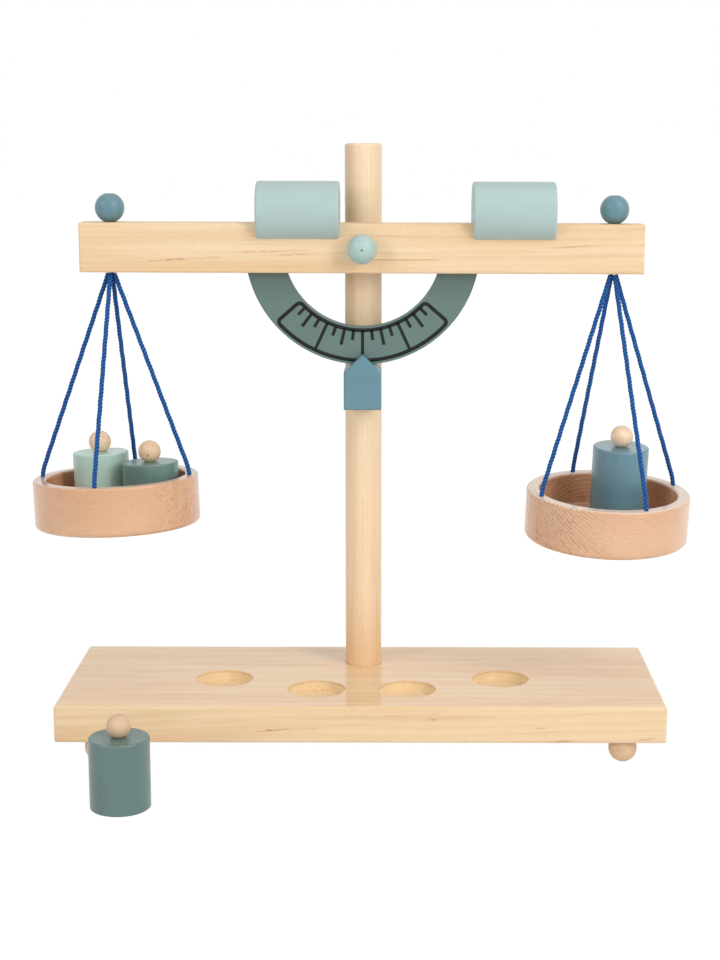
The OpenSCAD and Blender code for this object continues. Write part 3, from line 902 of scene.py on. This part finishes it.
def line_object(name: str, points: Sequence[Sequence[float]], closed: bool = False) -> bpy.types.Object:
    """Makes a curve object of one straight-sided spline.

    Args:
        name: The object's name.
        points: The points of the line, in metres.
        closed: Whether the line goes back to its start.

    Returns:
        The curve object, linked to the scene.
    """
    curve = bpy.data.curves.new(name, "CURVE")
    curve.dimensions = "3D"
    spline = curve.splines.new("POLY")
    spline.points.add(len(points) - 1)
    for slot, point in zip(spline.points, points):
        slot.co = (*point, 1.0)
    spline.use_cyclic_u = closed
    made = bpy.data.objects.new(name, curve)
    bpy.context.scene.collection.objects.link(made)
    return made


class PlyTree(ShapeTree):
    """Lays plies round a line: a lobed section that turns as it goes."""

    SECTION_POINTS = 30

    def __init__(self) -> None:
        """Builds the tree."""
        super().__init__("laid_plies", {
            "Radius": TreeSocket.LENGTH, "Plies": TreeSocket.COUNT, "Lay": TreeSocket.LENGTH,
            "Groove": TreeSocket.LENGTH, "Step": TreeSocket.LENGTH, "Finish": TreeSocket.FINISH})
        even = self.node("GeometryNodeResampleCurve", {
            "Curve": self.source.outputs[0], "Length": self.given("Step")}, mode="LENGTH")
        run = self.val("GeometryNodeSplineParameter", out="Length")
        turned = self.node("GeometryNodeSetCurveTilt", {
            "Curve": even.outputs[0], "Tilt": run / self.given("Lay") * FULL_TURN})
        marked = self.keep(turned.outputs[0], "ply_run", run)
        angle = self.val("GeometryNodeInputIndex") * (FULL_TURN / self.SECTION_POINTS)
        half = math.pi / self.given("Plies")
        lobe = angle.math("WRAP", half, half * -1.0)
        reach = self.given("Groove")
        offset = 1.0 - reach
        sine = lobe.math("SINE") * offset
        bulge = (reach * reach - sine * sine).math("MAXIMUM", 0.0).math("SQRT")
        out = (lobe.math("COSINE") * offset + bulge) * self.given("Radius")
        ring = self.node("GeometryNodeCurvePrimitiveCircle", {
            "Resolution": self.SECTION_POINTS, "Radius": 1.0}, mode="RADIUS")
        lobed = self.vector(angle.math("COSINE") * out, angle.math("SINE") * out, 0.0)
        shaped = self.node("GeometryNodeSetPosition", {"Geometry": ring.outputs[0], "Position": lobed})
        section = self.keep(shaped.outputs[0], "ply_crest", 1.0 - lobe.math("ABSOLUTE") / half)
        section = self.keep(section, "ply_cos", angle.math("COSINE"))
        section = self.keep(section, "ply_sin", angle.math("SINE"))
        swept = self.node("GeometryNodeCurveToMesh", {
            "Curve": marked, "Profile Curve": section, "Fill Caps": True})
        named = [self.val("GeometryNodeInputNamedAttribute", {"Name": label}, data_type="FLOAT")
                 for label in ("ply_cos", "ply_sin", "ply_run")]
        placed = self.keep(swept.outputs[0], "ply_place", self.vector(*named), "FLOAT_VECTOR")
        smooth = self.node("GeometryNodeSetShadeSmooth", {"Geometry": placed})
        self.end(smooth.outputs[0])

    def lay_up(self, name: str, points: Sequence[Sequence[float]], radius: float, plies: int, lay: float,
               finish: bpy.types.Material, groove: float = 0.56, step: float = 0.35 * MM,
               closed: bool = False) -> bpy.types.Object:
        """Makes one laid cord along a line.

        Args:
            name: The piece's name.
            points: The cord's middle line, in metres.
            radius: The radius over the plies.
            plies: How many plies there are.
            lay: The length of one full turn of a ply.
            finish: The cord's material.
            groove: A ply's radius as a share of the cord's.
            step: The distance between sections.
            closed: Whether the line is a loop.

        Returns:
            The cord as a mesh piece.
        """
        return self.make(name, line_object(name + "_line", points, closed), {
            "Radius": radius, "Plies": plies, "Lay": lay, "Groove": groove, "Step": step, "Finish": finish})


def declare(piece: bpy.types.Object, body: str, node: str) -> None:
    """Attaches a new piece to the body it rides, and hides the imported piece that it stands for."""
    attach(piece, body)
    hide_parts(node)


def tipped(point: Sequence[float], lean: Point) -> Vector:
    """Turns a point about X and then about Y, by degrees, as a pan leans."""
    return Euler([math.radians(a) for a in lean], "XYZ").to_matrix() @ Vector(point)


@dataclass
class CordRoute:
    """One cord's way from under the knot, straight to its hole in the rim, and down the hole."""

    hang: Point
    middle: Point
    lean: Point
    turn: float
    diameter: float = 2.2 * MM
    bundle: float = 1.65 * MM
    knot: float = 5.8 * MM
    start_share: float = 1.04
    hole_ring: float = 40.5 * MM
    seat: float = 9.8 * MM
    rise_share: float = 1.1
    reach_share: float = 2.0
    straight_steps: int = 120
    bend_steps: int = 10
    wave: float = 0.08 * MM
    wave_length: float = 10 * MM

    def points(self) -> list[Vector]:
        """Gives the middle line, in metres.

        Returns:
            The points from the bundle to the foot of the hole.
        """
        a = math.radians(self.turn)
        up = tipped((0, 0, 1), self.lean)
        ahead = Vector((math.cos(a), math.sin(a), 0))
        mouth = Vector(self.middle) + tipped(ahead * self.hole_ring, self.lean)
        start = Vector(self.hang) + ahead * self.bundle - Vector((0, 0, self.start_share * self.knot / 2))
        corner = mouth + up * self.rise_share * self.diameter
        reach = self.reach_share * self.diameter
        bend_in = corner + (start - corner).normalized() * reach
        bend_out = corner - up * reach
        line = []
        for i in range(self.straight_steps):
            t = i / self.straight_steps
            line.append(start.lerp(bend_in, t) + self.sway((bend_in - start).length * t))
        for i in range(self.bend_steps + 1):
            t = i / self.bend_steps
            line.append(bend_in.lerp(corner, t).lerp(corner.lerp(bend_out, t), t))
        line.append(mouth - up * self.seat)
        return line

    def sway(self, run: float) -> Vector:
        """Gives the slight wave that a limp cord keeps from its spool, nothing at its upper end."""
        phase = FULL_TURN * run / self.wave_length
        size = self.wave * min(run / self.wave_length, 1.0)
        return Vector((math.sin(phase + self.turn), math.cos(0.7 * phase + self.turn), 0)) * size


def length_of(points: Sequence[Vector]) -> float:
    """Adds up the straight pieces of a line."""
    return sum((b - a).length for a, b in zip(points, points[1:]))


@dataclass
class Hanging:
    """A pan's cords, the knot that gathers them and the stem that goes up to the bead."""

    side: str
    hang: Point
    middle: Point
    lean: Point
    first_turn: float
    names: tuple[str, ...]
    bead_middle: float
    cord_diameter: float = 2.2 * MM
    plies: int = 3
    ply_reach: float = 1.28 * MM
    lay: float = 5.8 * MM
    groove: float = 0.68
    knot_reach: float = 0.62 * MM
    knot_height: float = 1.85 * MM
    knot_steps: int = 120
    stem_cords: int = 4
    stem_radius: float = 2.28 * MM
    stem_gap: float = 2.95 * MM
    stem_lay: float = 34 * MM
    stem_groove: float = 0.46
    stem_step: float = 1.2 * MM

    def knot_line(self) -> list[Vector]:
        """Gives the knot's line: one closed turn over itself."""
        line = []
        for i in range(self.knot_steps):
            t = FULL_TURN * i / self.knot_steps
            x = (math.sin(t) + 2 * math.sin(2 * t)) * self.knot_reach
            y = (math.cos(t) - 2 * math.cos(2 * t)) * self.knot_reach
            line.append(Vector(self.hang) + Vector((x, y, -math.sin(3 * t) * self.knot_height)))
        return line

    def knot(self, tree: PlyTree, finish: bpy.types.Material) -> bpy.types.Object:
        """Ties the knot, in the mouth of the beam's hole."""
        piece = tree.lay_up(f"{self.side}_tied_knot", self.knot_line(), self.cord_diameter / 2, self.plies,
                            self.lay, finish, closed=True)
        declare(piece, f"{self.side}_hanger", f"{self.side}_knot")
        return piece

    def stem(self, tree: PlyTree, finish: bpy.types.Material) -> None:
        """Makes the four gathered cords that go up the hole and end in the bead."""
        x, y, z = self.hang
        line = [Vector((x, y, z + self.stem_gap)), Vector((x, y, self.bead_middle))]
        piece = tree.lay_up(f"{self.side}_gathered_stem", line, self.stem_radius, self.stem_cords,
                            self.stem_lay, finish, groove=self.stem_groove, step=self.stem_step)
        declare(piece, "beam", f"{self.side}_cord_stem")

    def build(self, tree: PlyTree, finish: bpy.types.Material) -> None:
        """Args:
            tree: The tree that lays the plies.
            finish: The cord's material.
        """
        knot = self.knot(tree, finish)
        self.stem(tree, finish)
        for i, node in enumerate(self.names):
            turn = self.first_turn + 360 / len(self.names) * i
            line = CordRoute(self.hang, self.middle, self.lean, turn, self.cord_diameter).points()
            piece = tree.lay_up(f"{node}_laid", line, self.ply_reach, self.plies, self.lay, finish,
                                groove=self.groove)
            declare(piece, f"{self.side}_pan", node)
            length_of(line)
            [knot] if i == 0 else []
            LOG.info("%s: %.1f mm of cord", node, length_of(line) / MM)


# Printed scale

class PrintTree(ShapeTree):
    """Prints a scale: a line of ink along a frame, and graduations of three lengths inside it."""

    def __init__(self) -> None:
        """Builds the tree."""
        lengths = ("Line", "Tick", "Film", "Inner", "Band", "Middle", "Short", "Step")
        super().__init__("printed_scale", {
            **dict.fromkeys(lengths, TreeSocket.LENGTH), "Ticks": TreeSocket.COUNT,
            "Front": TreeSocket.LENGTH, "Height": TreeSocket.LENGTH, "Finish": TreeSocket.FINISH})
        film, line = self.given("Film"), self.given("Line")
        flat = self.node("GeometryNodeSetCurveNormal", {"Curve": self.source.outputs[0]}, mode="Z_UP")
        bar = self.node("GeometryNodeCurvePrimitiveQuadrilateral", {"Width": line, "Height": film})
        frame = self.node("GeometryNodeCurveToMesh", {
            "Curve": flat.outputs[0], "Profile Curve": bar.outputs[0], "Fill Caps": True})
        place = self.val("GeometryNodeInputIndex") - (self.given("Ticks") - 1) / 2
        angle = place * self.given("Step")
        quarter, even = (1.0 - ((place.math("ABSOLUTE") + 0.25) % every > 0.5) for every in (4.0, 2.0))
        share = quarter.math("MAXIMUM", even * self.given("Middle")).math("MAXIMUM", self.given("Short"))
        length = share * (self.given("Band") - line / 2) - line / 2
        out = self.given("Inner") + line / 2 + length / 2
        spot = self.vector(angle.math("SINE") * out, angle.math("COSINE") * out * -1.0, 0.0)
        spots = self.node("GeometryNodePoints", {"Count": self.source.outputs["Ticks"], "Position": spot})
        mark = self.node("GeometryNodeMeshCube", {"Size": self.vector(self.given("Tick"), 1.0, film)})
        marks = self.node("GeometryNodeInstanceOnPoints", {
            "Points": spots.outputs[0], "Instance": mark.outputs[0], "Rotation": self.vector(0.0, 0.0, angle),
            "Scale": self.vector(1.0, length, 1.0)})
        both = self.node("GeometryNodeJoinGeometry")
        for part in (marks, frame):
            self.feed(both.inputs[0], part.outputs[0])
        front = self.vector(0.0, self.given("Front") - film / 2, self.given("Height"))
        upright = (math.pi / 2, 0.0, 0.0)
        lifted = self.node("GeometryNodeTransform", {
            "Geometry": both.outputs[0], "Rotation": upright, "Translation": front})
        self.end(lifted.outputs[0])


@dataclass
class DialPrint:
    """The printed scale on the dial, with round corners on its frame."""

    outer: float = 61.0 * MM
    inner: float = 43.0 * MM
    line: float = 1.9 * MM
    tick: float = 1.6 * MM
    film: float = 0.15 * MM
    half_angle: float = 50.0
    divisions: int = 16
    middle_share: float = 0.58
    short_share: float = 0.38
    corner: float = 2.6 * MM
    arc_steps: int = 48
    corner_steps: int = 8
    front: float = 2.0 * MM
    height: float = 267.0 * MM

    def frame_line(self) -> list[Point]:
        """Gives the middle of the frame's ink line about the dial's centre, with its corners rounded.

        Returns:
            The points of a closed line in the XY plane.
        """
        high, low = self.outer - self.line / 2, self.inner + self.line / 2

        def ray(radius: float, angle: float) -> Vector:
            """Gives a point by its distance and its angle from straight down."""
            return Vector((radius * math.sin(angle), -radius * math.cos(angle), 0))

        edge = math.radians(self.half_angle) - self.line / 2 / self.outer
        outline: list[Vector] = []
        for first, last, radius in ((-edge, edge, high), (edge, -edge, low)):
            trim = math.copysign(self.corner / radius, last - first)
            sweep = last - first - 2 * trim
            arc = [ray(radius, first + trim + sweep * i / self.arc_steps) for i in range(self.arc_steps + 1)]
            outline += arc
            other = low if radius == high else high
            turn_at = ray(radius, last)
            onward = (ray(other, last) - turn_at).normalized() * self.corner
            outline += self.bend(arc[-1], turn_at, turn_at + onward)
            back_at = ray(other, last)
            into = ray(other, last - math.copysign(self.corner / other, last - first))
            outline += self.bend(back_at - onward, back_at, into)[:-1]
        return [tuple(p) for p in outline]

    def bend(self, start: Vector, corner: Vector, end: Vector) -> list[Vector]:
        """Gives the points of a rounded corner, without its first one."""
        shares = [i / self.corner_steps for i in range(1, self.corner_steps + 1)]
        return [start.lerp(corner, t).lerp(corner.lerp(end, t), t) for t in shares]

    def build(self, finish: bpy.types.Material) -> None:
        """Prints the scale on the dial's front, in ink."""
        tree = PrintTree()
        base = line_object("scale_frame_line", self.frame_line(), closed=True)
        piece = tree.make("dial_scale_print", base, {
            "Line": self.line, "Tick": self.tick, "Film": self.film, "Inner": self.inner,
            "Band": self.outer - self.inner, "Middle": self.middle_share, "Short": self.short_share,
            "Step": math.radians(2 * self.half_angle / self.divisions), "Ticks": self.divisions - 1,
            "Front": self.front, "Height": self.height, "Finish": finish})
        declare(piece, "beam", "dial_scale")


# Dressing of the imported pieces

def middle_of(node: str) -> Vector:
    """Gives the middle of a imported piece's box."""
    low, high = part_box(node)
    return (low + high) / 2


@dataclass
class Wardrobe:
    """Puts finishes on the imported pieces."""

    nodes: dict[str, bpy.types.Object]

    def dress(self, node: str, finish: bpy.types.Material, slot: str) -> None:
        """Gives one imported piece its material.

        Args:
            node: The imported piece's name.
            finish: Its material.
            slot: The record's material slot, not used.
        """
        mesh = self.nodes[node].data
        mesh.materials.clear()
        mesh.materials.append(finish)
        LOG.info("%s: %s", node, finish.name)


@dataclass
class Stand:
    """The footed board, the post, the pointer and the pivot."""

    wardrobe: Wardrobe
    rests: tuple[tuple[float, float], ...] = (
        (-75.4 * MM, -7 * MM), (-24.3 * MM, -26 * MM), (24.3 * MM, -26 * MM), (75.4 * MM, -7 * MM))
    resin: tuple[Streak, ...] = (
        Streak(-46.5 * MM, 20.2 * MM, 12 * MM, 0.09, 0.75), Streak(-30 * MM, 21 * MM, 14 * MM, 0.05, 0.25),
        Streak(102.5 * MM, 14.1 * MM, 14 * MM, 0.07, 0.6), Streak(37 * MM, 26 * MM, 3.5 * MM, 0.0, 0.6),
        Streak(93.6 * MM, 21.3 * MM, 4.5 * MM, 0.05, 0.5), Streak(149 * MM, 15.4 * MM, 6 * MM, 0.1, 0.5))
    board_top: float = 33 * MM
    post_foot: Seam = Seam(0, 26 * MM, 10 * MM, 0.5 * MM)
    feet: tuple[str, ...] = ("foot_front_left", "foot_front_right", "foot_back_left", "foot_back_right")
    foot_radius: float = 7.5 * MM

    def dress(self) -> None:
        """Dresses every piece of the stand."""
        # The board's top face is made lighter as painted light, and its rests get painted shade on their
        # walls.
        board = PineFinish(
            "pine_board", Grain.ALONG_X, (0, 0.05, -0.125), (0, 2.0, -0.8), pale="#f2d5ab", warm="#e8bd8b",
            deep="#d9a26c", ring=4.0 * MM, wander=9 * MM, bands=0.72, rings=0.15, streaks=0.36,
            band_width=17 * MM, face=self.board_top, top_light_tone=1.1, pockets=self.rests, marks=self.resin,
            gloss=0.8, coat_roughness=0.07, seam=self.post_foot)
        post = PineFinish(
            "pine_post", Grain.ALONG_Z, (0.055, 0.075, 0), pale="#f9e0be", warm="#f1d0a4", deep="#e4ba8a",
            ring=2.2 * MM, rings=0.1, streaks=0.1, flecks=0.09, low_warm=0.55, gloss=0.25)
        self.wardrobe.dress("base_board", board.material(), "lacquered_board")
        self.wardrobe.dress("post", post.material(), "pine")
        for i, foot in enumerate(self.feet):
            middle = middle_of(foot)
            middle.z = self.foot_radius
            ball = BallFinish(f"foot_wood_{i}", tuple(middle), (0, 0, -self.foot_radius))
            self.wardrobe.dress(foot, ball.material(), "bare_wood")
        peg = PineFinish("peg_wood", Grain.ALONG_Y, (0.02, 0, 0.02), ring=1.4 * MM, gloss=0.05)
        for node in ("pivot_pin", "pivot_spacer"):
            self.wardrobe.dress(node, peg.material(), "bare_wood")
        low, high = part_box("pointer")
        pointer = PaintFinish("pointer_paint", "#648b99", Grain.ALONG_X, pale="#9bb8c1",
                              edges=((0, low.x), (0, high.x), (2, low.z)))
        self.wardrobe.dress("pointer", pointer.material(), "pointer_blue")
        bead = PaintFinish("pivot_bead_paint", "#acc7c1", Grain.ALONG_Y, pale="#c6d6d3", drag=0.02, coat=0.3,
                           roughness=0.34)
        self.wardrobe.dress("pivot_bead", bead.material(), "light_mint")


@dataclass
class Beam:
    """The tilting beam with its dial, beads and riders."""

    wardrobe: Wardrobe
    resin: tuple[Streak, ...] = (
        Streak(-100.5 * MM, 260.8 * MM, 18 * MM, 0.06, 0.55), Streak(-80 * MM, 262 * MM, 10 * MM, 0.05, 0.3),
        Streak(-50 * MM, 265.4 * MM, 28 * MM, 0.03, 0.4), Streak(-37 * MM, 263.6 * MM, 12 * MM, 0.03, 0.35))

    def dress(self, ink: InkFinish) -> None:
        """Dresses the beam and what is on it, and prints the scale."""
        beam = PineFinish(
            "pine_beam", Grain.ALONG_X, (0, 0.03, 0.21), (0, 0.5, 0), pale="#f2d8b4", warm="#e9c394",
            deep="#dba973", ring=3.4 * MM, wander=12 * MM, bands=0.75, rings=0.1, streaks=0.6,
            streak="#b87a42", band_width=9 * MM, marks=self.resin, gloss=0.2, coat_roughness=0.25)
        self.wardrobe.dress("beam", beam.material(), "pine")
        dial = PaintFinish("dial_paint", "#647b76", Grain.ALONG_X, pale="#83998f", drag=0.025, coat=0.03,
                           roughness=0.5)
        self.wardrobe.dress("dial", dial.material(), "sea_green")
        bead = PaintFinish("bead_paint", "#678c97", Grain.ALONG_Z, pale="#8fadb6", drag=0.03, coat=0.45,
                           roughness=0.34, reflect=0.2)
        for node in ("left_bead", "right_bead"):
            self.wardrobe.dress(node, bead.material(), "slate_blue")
        for node in ("left_rider", "right_rider"):
            low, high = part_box(node)
            rider = PaintFinish(f"{node}_paint", "#aec4c1", Grain.ALONG_X, pale="#c3d2d0", drag=0.018,
                                coat=0.05, roughness=0.46, edges=((0, low.x), (0, high.x)))
            self.wardrobe.dress(node, rider.material(), "light_mint")
        DialPrint().build(ink.material())


@dataclass(frozen=True)
class WeightLook:
    """A weight's paint, its paler edge, its slot and gloss, its knob's wood with painted light in its tone,
    and the knob's lathe mark.
    """

    colour: str
    pale: str
    slot: str
    coat: float
    ball: str
    mark: Point


@dataclass
class Weights:
    """The painted weights with their ball knobs."""

    wardrobe: Wardrobe
    knob_radius: float = 6 * MM
    # The knobs are one wood, but their pale tone differs as painted light: lighter on the mint, green and
    # blue knobs, darker on the grey one.
    looks: dict[str, WeightLook] = field(default_factory=lambda: {
        "mint": WeightLook("#b5d4c9", "#c8dad3", "mint", 0.25, "#f5dcc0", (0.004, 0.0035, 0.0035)),
        "green": WeightLook("#64857f", "#8fa39e", "green", 0.25, "#f2d6b4", (-0.0001, -0.0058, -0.0012)),
        "blue": WeightLook("#5e8997", "#8fa8b1", "blue", 0.7, "#fbe3c6", (0.002, 0.0055, 0.001)),
        "grey": WeightLook("#617c78", "#8ba19c", "grey_green", 0.05, "#e4c6a8", (-0.003, 0.005, 0.001))})

    def dress(self) -> None:
        """Dresses each weight and its knob."""
        for name, look in self.looks.items():
            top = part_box(f"{name}_weight")[1].z
            paint = PaintFinish(f"{name}_weight_paint", look.colour, Grain.ALONG_Z, pale=look.pale, drag=0.04,
                                roughness=0.32, coat=look.coat, edges=((2, top),), edge_share=0.4)
            self.wardrobe.dress(f"{name}_weight", paint.material(), look.slot)
            knob = f"{name}_knob"
            middle = middle_of(knob)
            middle.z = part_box(knob)[1].z - self.knob_radius
            ball = BallFinish(f"{knob}_wood", tuple(middle), look.mark, pale=look.ball)
            self.wardrobe.dress(knob, ball.material(), "bare_wood")


@dataclass
class Pans:
    """The two hanging pans with their cords."""

    wardrobe: Wardrobe
    left_lean: Point = (-1.5, -2.0, 0)
    right_lean: Point = (4.5, 1.8, 0)
    left_middle: Point = (-132.5 * MM, -3.6 * MM, 145 * MM)
    right_middle: Point = (132.5 * MM, -3.2 * MM, 137.5 * MM)
    left_hang: Point = (-132.5 * MM, -1 * MM, 256 * MM)
    right_hang: Point = (132.5 * MM, -1 * MM, 256 * MM)
    bead_middle: float = 287.3 * MM
    left_turn: float = -7.0
    right_turn: float = 23.0
    left_cords: tuple[str, ...] = ("left_cord_right", "left_cord_back", "left_cord_left", "left_cord_front")
    right_cords: tuple[str, ...] = (
        "right_cord_back_right", "right_cord_back_left", "right_cord_front_left", "right_cord_front_right")

    def cords(self) -> None:
        """Lays all eight cords with their knots and stems."""
        tree, finish = PlyTree(), CordFinish("blue_cotton").material()
        left = Hanging("left", self.left_hang, self.left_middle, self.left_lean, self.left_turn,
                       self.left_cords, self.bead_middle)
        right = Hanging("right", self.right_hang, self.right_middle, self.right_lean, self.right_turn,
                        self.right_cords, self.bead_middle)
        for hanging in (left, right):
            hanging.build(tree, finish)

    def dress(self) -> None:
        """Dresses the two pans."""
        # Both pans get painted shade in their hollows and a painted sheen on their rim tops, the right one
        # less shade and more sheen.
        left = BeechFinish("left_pan_beech", self.left_middle, 60.0, self.left_lean, 1.0)
        right = BeechFinish("right_pan_beech", self.right_middle, 52.0, self.right_lean, -1.0, ring=1.5 * MM,
                            cut_from=-2 * MM, cut_to=30 * MM, hollow_shade_share=0.3, rim_sheen_share=0.8, pale="#e8bb97")
        self.wardrobe.dress("left_pan", left.material(), "beech")
        self.wardrobe.dress("right_pan", right.material(), "beech")


def main() -> None:
    """Builds the studio, the cords and the finishes in order."""
    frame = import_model()
    studio = Studio()
    studio.camera()
    wardrobe = Wardrobe(frame["nodes"])
    pans = Pans(wardrobe)
    pans.cords()
    pans.dress()
    Stand(wardrobe).dress()
    Beam(wardrobe).dress(InkFinish("printing_ink"))
    Weights(wardrobe).dress()
    studio.set_up()


if __name__ == "__main__":
    logging.basicConfig(level=logging.INFO, format="%(name)s: %(message)s")
    main()
